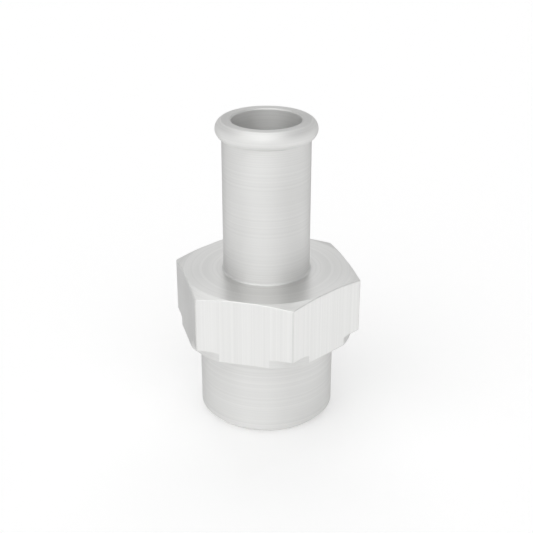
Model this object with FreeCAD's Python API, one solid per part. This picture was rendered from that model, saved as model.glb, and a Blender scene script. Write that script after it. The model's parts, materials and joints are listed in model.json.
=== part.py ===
import FreeCAD, Part
import math
import os

# Hose nipple, turned in one piece from hexagon bar.
# It stands on the end of its spigot, with its axis on Z: the spigot below, then the collar
# that seats on the port, the hexagon for the spanner, and the tail that the hose is pushed over.
# The hexagon has two of its flats square to X. All sizes are in millimetres and degrees.

# The way through, and the tail with the rolled-over bead that keeps the hose on it
bore_diameter = 11.0
tail_wall = 1.5
tail_length = 25.0
bead_rise = 1.0
bead_width = 2.9

# Hexagon, with the top of its corners turned to a shallow cone
across_flats = 27.0
hexagon_height = 9.5
top_cone_angle = 15.0
bar_corner_radius = 0.3

# Collar under the hexagon: round where the corners are turned away, flush with the flats between
collar_height = 1.5
collar_past_flats = 0.6

# Spigot that goes into the port
spigot_diameter = 22.0
spigot_length = 14.0
spigot_chamfer = 1.0

# Small forms left by the tool: the radius in each root, and the broken sharp edges
root_radius = 0.3
edge_break = 0.2

# Radii from the axis
bore_radius = bore_diameter / 2
tail_radius = bore_radius + tail_wall
bead_radius = tail_radius + bead_rise
spigot_radius = spigot_diameter / 2
flat_radius = across_flats / 2
corner_radius = flat_radius / math.cos(math.radians(30))
collar_radius = flat_radius + collar_past_flats

# Heights above the end of the spigot
seat_z = spigot_length
corner_z = seat_z + collar_height
hexagon_top_z = corner_z + hexagon_height
tail_end_z = hexagon_top_z + tail_length
bead_foot_z = tail_end_z - bead_width
bead_middle_z = tail_end_z - bead_width / 2
cone_drop = (corner_radius - flat_radius) * math.tan(math.radians(top_cone_angle))


def point(radius, height):
    """A point of the half section, which lies in the plane of X and Z."""
    return FreeCAD.Vector(radius, 0, height)


def line(start, end):
    return Part.LineSegment(start, end).toShape()


def arc(start, middle, end):
    return Part.Arc(start, middle, end).toShape()


def root_arc(start, end, centre):
    """A hollow quarter round in the corner between a wall and a face."""
    towards_corner = (start + end) / 2 - centre
    towards_corner.normalize()
    return arc(start, centre + towards_corner * root_radius, end)


def half_section():
    """The turned outline, from the foot of the bore round the outside and back down the bore."""
    foot_in = point(bore_radius + edge_break, 0)
    foot_out = point(spigot_radius - spigot_chamfer, 0)
    spigot_foot = point(spigot_radius, spigot_chamfer)
    spigot_root = point(spigot_radius, seat_z - root_radius)
    seat_in = point(spigot_radius + root_radius, seat_z)
    seat_out = point(collar_radius - edge_break, seat_z)
    collar_foot = point(collar_radius, seat_z + edge_break)
    collar_top = point(collar_radius, corner_z)
    corner_foot = point(corner_radius, corner_z)
    cone_foot = point(corner_radius, hexagon_top_z - cone_drop)
    cone_top = point(flat_radius, hexagon_top_z)
    tail_root_out = point(tail_radius + root_radius, hexagon_top_z)
    tail_root = point(tail_radius, hexagon_top_z + root_radius)
    bead_foot = point(tail_radius, bead_foot_z)
    bead_middle = point(bead_radius, bead_middle_z)
    bead_end = point(tail_radius, tail_end_z)
    mouth_out = point(bore_radius + edge_break, tail_end_z)
    mouth_in = point(bore_radius, tail_end_z - edge_break)
    bore_foot = point(bore_radius, edge_break)
    spigot_root_centre = point(spigot_radius + root_radius, seat_z - root_radius)
    tail_root_centre = point(tail_radius + root_radius, hexagon_top_z + root_radius)
    return Part.Wire([
        line(foot_in, foot_out),
        line(foot_out, spigot_foot),
        line(spigot_foot, spigot_root),
        root_arc(spigot_root, seat_in, spigot_root_centre),
        line(seat_in, seat_out),
        line(seat_out, collar_foot),
        line(collar_foot, collar_top),
        line(collar_top, corner_foot),
        line(corner_foot, cone_foot),
        line(cone_foot, cone_top),
        line(cone_top, tail_root_out),
        root_arc(tail_root_out, tail_root, tail_root_centre),
        line(tail_root, bead_foot),
        arc(bead_foot, bead_middle, bead_end),
        line(bead_end, mouth_out),
        line(mouth_out, mouth_in),
        line(mouth_in, bore_foot),
        line(bore_foot, foot_in),
    ])


def turned_form():
    """Everything that the lathe leaves, before the bar's flats bound it."""
    axis_foot = FreeCAD.Vector(0, 0, 0)
    axis_direction = FreeCAD.Vector(0, 0, 1)
    return Part.Face(half_section()).revolve(axis_foot, axis_direction, 360)


def hexagon_bar():
    """The bar it is turned from, as long again as it is wide past both ends of the nipple."""
    foot_z = -across_flats
    length = tail_end_z + 2 * across_flats
    corners = []
    for number in range(7):
        angle = math.radians(30 + 60 * number)
        corners.append(FreeCAD.Vector(
            corner_radius * math.cos(angle),
            corner_radius * math.sin(angle),
            foot_z,
        ))
    bar = Part.Face(Part.makePolygon(corners)).extrude(FreeCAD.Vector(0, 0, length))
    long_edges = [edge for edge in bar.Edges if abs(edge.tangentAt(edge.FirstParameter).z) > 0.5]
    return bar.makeFillet(bar_corner_radius, long_edges)


def hose_nipple():
    return hexagon_bar().common(turned_form()).Solids[0]


nipple = hose_nipple()
print("valid", nipple.isValid(), "volume cm3", round(nipple.Volume / 1000, 3))
print("box", nipple.BoundBox)

os.makedirs("parts", exist_ok=True)
nipple.exportStep("parts/hose_nipple.step")
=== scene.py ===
import json
import math

import bmesh
import bpy
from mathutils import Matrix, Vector


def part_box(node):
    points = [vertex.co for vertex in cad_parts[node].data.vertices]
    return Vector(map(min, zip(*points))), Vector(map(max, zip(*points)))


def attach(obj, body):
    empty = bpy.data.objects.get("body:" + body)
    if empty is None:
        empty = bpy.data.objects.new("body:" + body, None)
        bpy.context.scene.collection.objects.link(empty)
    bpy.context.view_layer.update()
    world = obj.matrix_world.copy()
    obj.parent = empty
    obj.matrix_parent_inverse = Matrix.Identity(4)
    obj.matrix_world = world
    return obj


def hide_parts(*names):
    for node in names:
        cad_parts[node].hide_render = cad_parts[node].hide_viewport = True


# The hose nipple as a finished piece of turned stainless steel, on a pale floor.
# The solid's form is built again here as one fine mesh, so that its machined edges are soft
# and each kind of surface has its own finish. Lengths are in millimetres up to the mesh itself.

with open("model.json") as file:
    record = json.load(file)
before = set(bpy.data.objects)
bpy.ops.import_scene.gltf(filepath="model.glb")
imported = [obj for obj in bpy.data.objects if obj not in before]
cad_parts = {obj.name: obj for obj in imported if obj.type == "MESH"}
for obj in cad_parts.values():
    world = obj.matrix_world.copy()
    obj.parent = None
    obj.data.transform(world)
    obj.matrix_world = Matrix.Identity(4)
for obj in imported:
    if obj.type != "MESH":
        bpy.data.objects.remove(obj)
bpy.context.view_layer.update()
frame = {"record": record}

NODE = "hose_nipple"
MM = 0.001

# Sizes of the nipple that no mount gives
TAIL_WALL = 1.5
BEAD_RISE = 1.0
BEAD_WIDTH = 2.9
HEXAGON_HEIGHT = 9.5
TOP_CONE = math.radians(15)
CORNER_ROUND = 0.3
COLLAR_HEIGHT = 1.5
COLLAR_PAST_FLATS = 0.6
SPIGOT_CHAMFER = 1.0
ROOT_RADIUS = 0.3
EDGE_BREAK = 0.2
EDGE_ROUND = 0.2

# Angles of the hexagon and of the rounds in its section
SIXTH = math.radians(60)
QUARTER = math.radians(90)

# How finely the mesh follows the form
ROUND_STEPS = 8
BEAD_STEPS = 28
FLAT_STEPS = 9
COLLAR_STEPS = 8
CORNER_STEPS = 4
SHARP_ANGLE = math.radians(12)
MERGE_DISTANCE = 0.0001

# Steel: its colour in and between the tool's marks, and at a shallow angle
STEEL_IN_MARKS = (0.81, 0.81, 0.80, 1)
STEEL_BETWEEN = (0.86, 0.86, 0.85, 1)
STEEL_AT_EDGE = (0.48, 0.48, 0.48, 1)

# How far apart the marks and the broad changes of tone are, how detailed each is, between
# which values the noise behind them mostly lies, and how much marks are drawn out on the bar
MARK_PITCH = 0.35
MARK_DETAIL = 3.0
CLOUD_PITCH = 7.0
CLOUD_DETAIL = 2.0
NOISE_RANGE = (0.35, 0.65)
DRAWN_OUT = 0.004

# Each kind of surface: its least and most roughness, how much the marks spread the light across
# themselves, the part of a full turn from the way round the axis to the way across the marks, and
# their height. The bar's rounded corners are duller than its flats, so that they show as fine lines
FINISHES = {
    "turned": {"roughness": (0.53, 0.63), "spread": 0.7, "turn": 0.25, "mark_height": 0.0015},
    "faced": {"roughness": (0.30, 0.37), "spread": 0.35, "turn": 0.25, "mark_height": 0.001},
    "coned": {"roughness": (0.44, 0.51), "spread": 0.0, "turn": 0.25, "mark_height": 0.001},
    "beaded": {"roughness": (0.56, 0.64), "spread": 0.4, "turn": 0.25, "mark_height": 0.001},
    "drawn": {"roughness": (0.28, 0.36), "spread": 0.5, "turn": 0.0, "mark_height": 0.0005},
    "rounded": {"roughness": (0.70, 0.80), "spread": 0.0, "turn": 0.0, "mark_height": 0.0005},
    "bored": {"roughness": (0.60, 0.72), "spread": 0.6, "turn": 0.25, "mark_height": 0.004},
}

# Half the floor's width in metres and the share of light it returns, the sky's brightness overhead
# when it is 1 round the horizon, and the wide suns, with angles in degrees
FLOOR_HALF = 3.0
FLOOR_ALBEDO = 0.9
SKY_AT_TOP = 0.1
LAMPS = {
    "front": {"azimuth": 28, "elevation": 60, "spread": 85, "strength": 1.45},
    "back": {"azimuth": 225, "elevation": 55, "spread": 50, "strength": 0.5},
}

# The camera of the picture, fitted to its outlines. Its angles are in degrees
CAMERA_AZIMUTH = 45
CAMERA_ELEVATION = 24.88
CAMERA_DISTANCE = 173.5
CAMERA_TARGET_Z = 25.05
CAMERA_FOCAL = 71.95
CAMERA_SENSOR = 36.0
CAMERA_RANGE = (10.0, 10000.0)


def mount(name):
    """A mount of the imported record."""
    return next(m for m in frame["record"]["mounts"] if m["name"] == name)


# Radii from the axis and heights above the floor
far_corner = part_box(NODE)[1]
flat_r = far_corner[0] / MM
tail_end_z = far_corner[2] / MM
bore_r = mount("bore")["dims"]["r_mm"]
spigot_r = mount("spigot")["dims"]["r_mm"]
seat_z = mount("seat")["pos_m"][2] / MM
tail_r = bore_r + TAIL_WALL
bead_r = tail_r + BEAD_RISE
collar_r = flat_r + COLLAR_PAST_FLATS
corner_z = seat_z + COLLAR_HEIGHT
hexagon_top_z = corner_z + HEXAGON_HEIGHT

# Angles from a flat's middle to where the collar stands past the flat, and to the corner's round,
# which starts at a radius of its own
collar_start = math.acos(flat_r / collar_r)
corner_start = math.atan((flat_r - CORNER_ROUND) * math.tan(SIXTH / 2) / flat_r)
corner_start_r = flat_r / math.cos(corner_start)


def bar_radius(angle):
    """Distance from the axis to the bar's surface, with the flats' middles at every 60 degrees."""
    from_flat = abs((angle + SIXTH / 2) % SIXTH - SIXTH / 2)
    if from_flat <= corner_start:
        return flat_r / math.cos(from_flat)
    from_corner = SIXTH / 2 - from_flat
    round_centre = (flat_r - CORNER_ROUND) / math.cos(SIXTH / 2)
    off_centre = round_centre * math.sin(from_corner)
    return round_centre * math.cos(from_corner) + math.sqrt(CORNER_ROUND ** 2 - off_centre ** 2)


def stretch(start, end, steps):
    """Evenly spaced values from start towards end, without end."""
    return [start + (end - start) * i / steps for i in range(steps)]


def column_angles():
    """Angles of the mesh's columns, with one on every edge that the form has."""
    half = stretch(0, collar_start, FLAT_STEPS)
    half += stretch(collar_start, corner_start, COLLAR_STEPS)
    half += stretch(corner_start, SIXTH / 2, CORNER_STEPS)
    other_half = [SIXTH - a for a in half[1:]]
    sixth = half + [SIXTH / 2] + other_half[::-1]
    return [SIXTH * n + a for n in range(6) for a in sixth]


def arc_points(centre, radius, start, end, steps=ROUND_STEPS):
    """Points of an arc in the plane of radius and height, both ends included."""
    turns = [start + (end - start) * i / steps for i in range(steps + 1)]
    return [(centre[0] + radius * math.cos(t), centre[1] + radius * math.sin(t)) for t in turns]


# The outline is a list of (surface, points), with the surface that leads to each of the points


def spigot_part():
    """The face of the foot, its bevel, and the spigot up to its root."""
    root = (spigot_r + ROOT_RADIUS, seat_z - ROOT_RADIUS)
    return [
        ("faced", [(bore_r + EDGE_BREAK, 0.0), (spigot_r - SPIGOT_CHAMFER, 0.0)]),
        ("turned", [(spigot_r, SPIGOT_CHAMFER), (spigot_r, root[1])]),
        ("turned", arc_points(root, ROOT_RADIUS, 2 * QUARTER, QUARTER)),
    ]


def collar_part(wall):
    """The seat and the collar, which the flats bound between the corners."""
    collar = min(wall, collar_r)
    edge = (collar - EDGE_ROUND, seat_z + EDGE_ROUND)
    side = "turned" if wall > collar_r else "drawn"
    return [
        ("faced", [(collar - EDGE_ROUND, seat_z)]),
        ("turned", arc_points(edge, EDGE_ROUND, -QUARTER, 0)),
        (side, [(collar, corner_z)]),
    ]


def hexagon_part(wall):
    """The underside of a corner, the flat, the cone over the corner, and the top face."""
    foot_round = min(EDGE_ROUND, max(0.0, wall - collar_r) / 2)
    foot_edge = (wall - foot_round, corner_z + foot_round)
    edge_r = wall - EDGE_ROUND
    below_face = hexagon_top_z - EDGE_ROUND
    below_cone = hexagon_top_z - (edge_r - flat_r) * math.tan(TOP_CONE) - EDGE_ROUND / math.cos(TOP_CONE)
    roof = TOP_CONE if below_cone < below_face else 0.0
    top_edge = (edge_r, min(below_face, below_cone))
    side = "rounded" if wall > corner_start_r else "drawn"
    return [
        ("turned", arc_points(foot_edge, foot_round, -QUARTER, 0)),
        (side, [(wall, top_edge[1])]),
        ("coned", arc_points(top_edge, EDGE_ROUND, 0, QUARTER - roof)),
        ("coned", [(min(flat_r, edge_r), hexagon_top_z)]),
        ("faced", [(tail_r + ROOT_RADIUS, hexagon_top_z)]),
    ]


def tail_part():
    """The tail from its root, the bead in one arc, the end face, and the bore with its mouth."""
    root = (tail_r + ROOT_RADIUS, hexagon_top_z + ROOT_RADIUS)
    half_width = BEAD_WIDTH / 2
    bead_radius = (half_width ** 2 + BEAD_RISE ** 2) / (2 * BEAD_RISE)
    bead_centre = (bead_r - bead_radius, tail_end_z - half_width)
    bead_turn = math.asin(half_width / bead_radius)
    return [
        ("turned", arc_points(root, ROOT_RADIUS, 3 * QUARTER, 2 * QUARTER)),
        ("turned", [(tail_r, tail_end_z - BEAD_WIDTH)]),
        ("beaded", arc_points(bead_centre, bead_radius, -bead_turn, bead_turn, BEAD_STEPS)),
        ("faced", [(bore_r + EDGE_BREAK, tail_end_z)]),
        ("bored", [(bore_r, tail_end_z - EDGE_BREAK), (bore_r, EDGE_BREAK)]),
    ]


def section(angle):
    """The outline in the half plane at an angle, from the foot up the outside and down the bore."""
    wall = bar_radius(angle)
    return spigot_part() + collar_part(wall) + hexagon_part(wall) + tail_part()


def nipple_mesh(materials):
    """One closed mesh: a column of points for each angle of the section, joined by quads."""
    angles = column_angles()
    points = []
    for angle in angles:
        outline = [p for _, part in section(angle) for p in part]
        points += [Vector((r * math.cos(angle), r * math.sin(angle), z)) * MM for r, z in outline]
    rows = len(outline)
    names = list(materials)
    faces = []
    slots = []
    for column, angle in enumerate(angles):
        following = (column + 1) % len(angles)
        halfway = (angle + (angles[following] or math.tau)) / 2
        surfaces = [name for name, part in section(halfway) for _ in part]
        for row, surface in enumerate(surfaces):
            before = (row - 1) % rows
            corners = [(column, before), (following, before), (following, row), (column, row)]
            faces.append([c * rows + r for c, r in corners])
            slots.append(names.index(surface))
    mesh = bpy.data.meshes.new("nipple_body")
    mesh.from_pydata(points, [], faces)
    for material in materials.values():
        mesh.materials.append(material)
    mesh.polygons.foreach_set("material_index", slots)
    close_up(mesh)
    return mesh


def close_up(mesh):
    """Merges the points where a surface narrows to nothing, and shades all but real edges smooth."""
    work = bmesh.new()
    work.from_mesh(mesh)
    bmesh.ops.remove_doubles(work, verts=work.verts, dist=MERGE_DISTANCE * MM)
    work.to_mesh(mesh)
    work.free()
    mesh.shade_smooth()
    mesh.set_sharp_from_angle(angle=SHARP_ANGLE)


class Nodes:
    """The node tree of a material or world, with short ways to add and join nodes."""

    def __init__(self, owner):
        owner.use_nodes = True
        self.tree = owner.node_tree
        self.tree.nodes.clear()

    def add(self, kind, settings=None, **inputs):
        """A new node. An input is a value, or the output socket that feeds it."""
        made = self.tree.nodes.new("ShaderNode" + kind)
        for name, value in (settings or {}).items():
            setattr(made, name, value)
        for name, value in inputs.items():
            self.feed(made, name.replace("_", " "), value)
        return made

    def feed(self, made, socket, value):
        target = made.inputs[socket]
        if isinstance(value, bpy.types.NodeSocket):
            self.tree.links.new(value, target)
        else:
            target.default_value = value

    def maths(self, operation, first, second=0.0):
        made = self.add("Math", {"operation": operation})
        self.feed(made, 0, first)
        self.feed(made, 1, second)
        return made.outputs[0]

    def vectors(self, operation, first, second):
        made = self.add("VectorMath", {"operation": operation})
        self.feed(made, 0, first)
        self.feed(made, 1, second)
        return made.outputs[0]

    def between(self, amount, start, end, low, high):
        """The values from low to high as the amount goes from start to end."""
        made = self.add("MapRange")
        for socket, value in enumerate((amount, start, end, low, high)):
            self.feed(made, socket, value)
        return made.outputs[0]

    def mixed(self, amount, first, second):
        """A colour from the first to the second as the amount goes from 0 to 1."""
        made = self.add("Mix", {"data_type": "RGBA"})
        self.feed(made, "Factor", amount)
        self.feed(made, "A", first)
        self.feed(made, "B", second)
        return made.outputs["Result"]

    def noise(self, place, pitch, detail):
        """Noise from 0 to 1 whose coarsest forms are about as far apart as the pitch."""
        made = self.add("TexNoise", Vector=place, Scale=1 / (pitch * MM), Detail=detail)
        return made.outputs[0]

    def rays(self, *kinds):
        """1 for rays of the kinds named, and 0 for others."""
        path = self.add("LightPath")
        found = 0.0
        for kind in kinds:
            found = self.maths("MAXIMUM", found, path.outputs[f"Is {kind} Ray"])
        return found

    def finish(self, kind, shader):
        output = self.add("Output" + kind)
        self.tree.links.new(shader.outputs[0], output.inputs["Surface"])


def round_the_axis(nodes, place):
    """Radius and height, so that marks run round the axis as a lathe or a drill leaves them."""
    axes = nodes.add("SeparateXYZ", Vector=place)
    squares = [nodes.maths("MULTIPLY", axes.outputs[i], axes.outputs[i]) for i in (0, 1)]
    radius = nodes.maths("SQRT", nodes.maths("ADD", *squares))
    return nodes.add("CombineXYZ", X=radius, Y=axes.outputs[2]).outputs[0]


def along_the_bar(nodes, place):
    """The place with its height drawn out, so that marks run the way the bar was drawn."""
    return nodes.vectors("MULTIPLY", place, (1, 1, DRAWN_OUT))


def steel(name, roughness, spread, turn, mark_height):
    """Steel with the fine marks of a tool, or on the flats and their corners those of the die."""
    material = bpy.data.materials.new(name + "_steel")
    nodes = Nodes(material)
    place = nodes.add("TexCoord").outputs["Object"]
    marked = round_the_axis if turn else along_the_bar
    marks = nodes.noise(marked(nodes, place), MARK_PITCH, MARK_DETAIL)
    clouds = nodes.noise(place, CLOUD_PITCH, CLOUD_DETAIL)
    both = nodes.maths("MULTIPLY", nodes.maths("ADD", marks, clouds), 0.5)
    shade = nodes.between(marks, *NOISE_RANGE, 0.0, 1.0)
    shader = nodes.add(
        "BsdfPrincipled",
        Base_Color=nodes.mixed(shade, STEEL_IN_MARKS, STEEL_BETWEEN),
        Metallic=1.0,
        Roughness=nodes.between(both, *NOISE_RANGE, *roughness),
        Normal=nodes.add("Bump", Strength=1.0, Distance=mark_height * MM, Height=marks).outputs[0],
        Specular_Tint=STEEL_AT_EDGE,
        Anisotropic=spread,
        Anisotropic_Rotation=turn,
        Tangent=nodes.add("Tangent", {"direction_type": "RADIAL", "axis": "Z"}).outputs[0],
    )
    nodes.finish("Material", shader)
    return material


def new_object(name, data):
    made = bpy.data.objects.new(name, data)
    bpy.context.collection.objects.link(made)
    return made


def from_origin(azimuth, elevation):
    """Direction from the origin, in degrees, with azimuth 0 towards the front, -Y."""
    turn = math.radians(azimuth)
    rise = math.radians(elevation)
    return Vector((math.sin(turn) * math.cos(rise), -math.cos(turn) * math.cos(rise), math.sin(rise)))


def face_origin(thing, back):
    thing.rotation_mode = "QUATERNION"
    thing.rotation_quaternion = back.to_track_quat("Z", "Y")


def soft_sun(name, azimuth, elevation, spread, strength):
    """A wide sun. It returns the brightness that it gives a white floor."""
    data = bpy.data.lights.new(name, "SUN")
    data.angle = math.radians(spread)
    data.energy = strength
    face_origin(new_object(name, data), from_origin(azimuth, elevation))
    return strength * math.sin(math.radians(elevation)) / math.pi


def make_floor(light):
    """A pale floor that looks white where nothing shades it, given the light that falls on it."""
    corners = [(x * FLOOR_HALF, y * FLOOR_HALF, 0) for x, y in ((-1, -1), (1, -1), (1, 1), (-1, 1))]
    mesh = bpy.data.meshes.new("floor")
    mesh.from_pydata(corners, [], [(0, 1, 2, 3)])
    new_object("floor", mesh)
    material = bpy.data.materials.new("floor")
    mesh.materials.append(material)
    nodes = Nodes(material)
    diffuse = nodes.add("BsdfDiffuse", Color=(FLOOR_ALBEDO, FLOOR_ALBEDO, FLOOR_ALBEDO, 1))
    missing = 1.0 - FLOOR_ALBEDO * light
    seen = nodes.rays("Camera", "Glossy", "Transmission")
    glow = nodes.add("Emission", Strength=nodes.maths("MULTIPLY", seen, missing))
    both = nodes.add("AddShader")
    nodes.feed(both, 0, diffuse.outputs[0])
    nodes.feed(both, 1, glow.outputs[0])
    nodes.finish("Material", both)


def make_world():
    """A sky that is white round the horizon and dims overhead, and white all over to the camera.

    It returns the brightness that it gives a white floor."""
    world = bpy.data.worlds.new("world")
    bpy.context.scene.world = world
    nodes = Nodes(world)
    height = nodes.add("SeparateXYZ", Vector=nodes.add("TexCoord").outputs["Generated"]).outputs[2]
    sky = nodes.between(height, 0.0, 1.0, 1.0, SKY_AT_TOP)
    strength = nodes.maths("MAXIMUM", sky, nodes.rays("Camera"))
    nodes.finish("World", nodes.add("Background", Color=(1, 1, 1, 1), Strength=strength))
    return (1 + 2 * SKY_AT_TOP) / 3


def make_camera():
    data = bpy.data.cameras.new("camera")
    data.sensor_width = CAMERA_SENSOR
    data.lens = CAMERA_FOCAL
    data.clip_start, data.clip_end = (distance * MM for distance in CAMERA_RANGE)
    camera = new_object("camera", data)
    back = from_origin(CAMERA_AZIMUTH, CAMERA_ELEVATION)
    camera.location = (Vector((0, 0, CAMERA_TARGET_Z)) + back * CAMERA_DISTANCE) * MM
    face_origin(camera, back)
    bpy.context.scene.camera = camera


materials = {name: steel(name, **finish) for name, finish in FINISHES.items()}
body = new_object("nipple_body", nipple_mesh(materials))
body.modifiers.new("weighted", "WEIGHTED_NORMAL").keep_sharp = True
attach(body, "root")
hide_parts(NODE)

light = make_world() + sum(soft_sun(name, **lamp) for name, lamp in LAMPS.items())
make_floor(light)
make_camera()
bpy.context.scene.view_settings.view_transform = "Standard"
